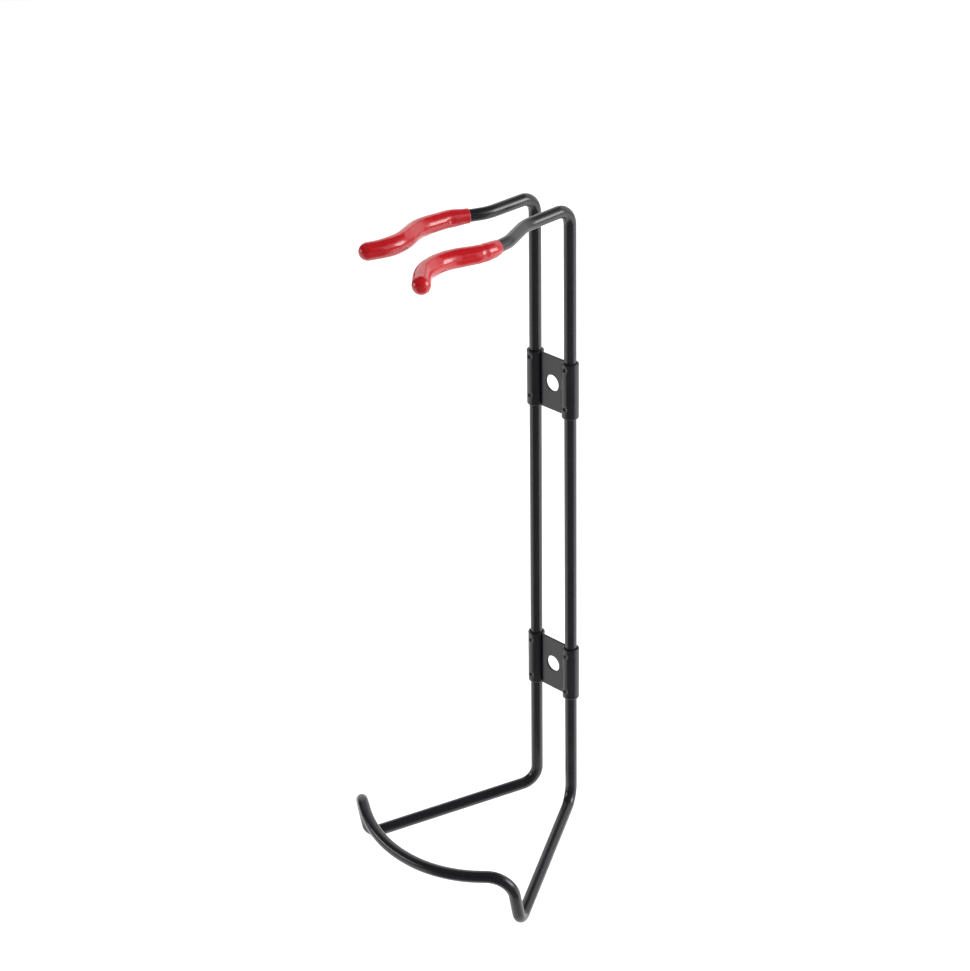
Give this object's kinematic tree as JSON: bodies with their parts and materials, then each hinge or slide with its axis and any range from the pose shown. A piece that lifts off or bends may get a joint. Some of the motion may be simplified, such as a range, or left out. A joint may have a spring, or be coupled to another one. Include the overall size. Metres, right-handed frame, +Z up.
{
  "type": "bicycle wall rack",
  "caption": "Wall rack for a bicycle: a bent steel rod with waved, sleeve-gripped arms above, a bowed wheel loop below, and rolled sheet brackets for wall screws.",
  "frame": {"origin": "midway between the two screw holes, in the middle of the brackets' sheet, which is also the plane of the uprights' centre lines; the wall is 6.0 mm behind it", "axes": "+Z up along the uprights, +X along the wall, +Y towards the wall, so the arms and the loop reach out along -Y"},
  "size_m": [0.1626, 0.1671, 0.4909],
  "materials": {
    "powder_coated_rod": "satin black powder coat",
    "powder_coated_sheet": "satin dark grey powder coat",
    "dipped_vinyl": "glossy red dipped PVC"
  },
  "bodies": {
    "root": {"rod_frame": "powder_coated_rod", "upper_bracket": "powder_coated_sheet", "lower_bracket": "powder_coated_sheet", "left_grip": "dipped_vinyl", "right_grip": "dipped_vinyl"}
  },
  "joints": []
}
